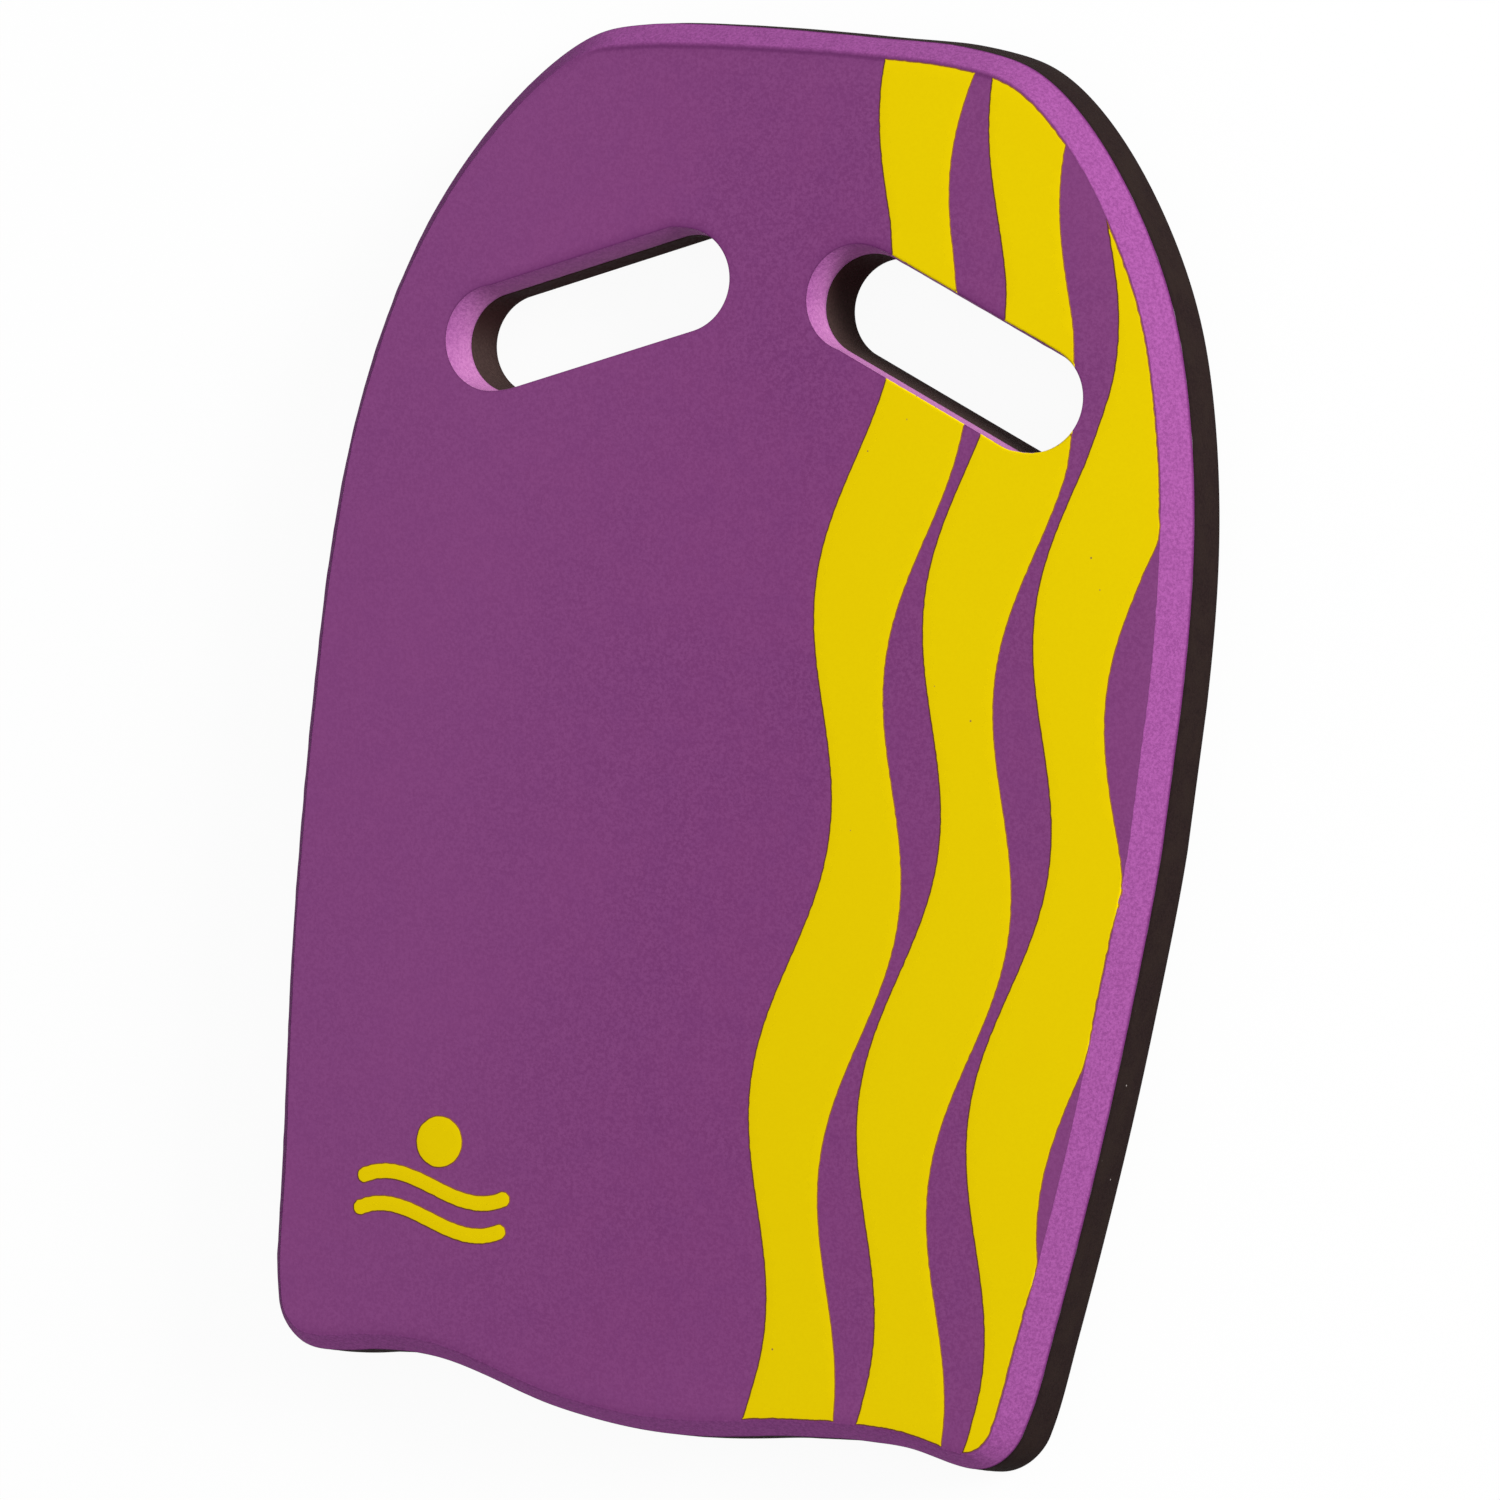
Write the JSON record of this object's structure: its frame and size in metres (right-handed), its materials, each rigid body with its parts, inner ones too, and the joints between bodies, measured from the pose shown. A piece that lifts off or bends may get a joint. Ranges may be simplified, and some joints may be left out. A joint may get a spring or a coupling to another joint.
{
  "type": "kickboard float",
  "caption": "Flat foam swimming kickboard with a bevelled front, wavy tail edge and slanted hand slots, printed with wave bands.",
  "frame": {"origin": "below the middle of the board, in the plane of the back face", "axes": "+Y from the tail toward the nose, +Z out of the printed front face, +X toward the side with the wave bands"},
  "size_m": [0.2896, 0.4284, 0.0271],
  "materials": {
    "back_foam": "matte closed-cell foam",
    "glue": "matte",
    "front_foam": "matte closed-cell foam",
    "ink": "satin ink"
  },
  "bodies": {
    "root": {"back_layer": "back_foam", "glue_film": "glue", "front_layer": "front_foam", "side_print": "ink", "corner_print": "ink"}
  },
  "joints": []
}
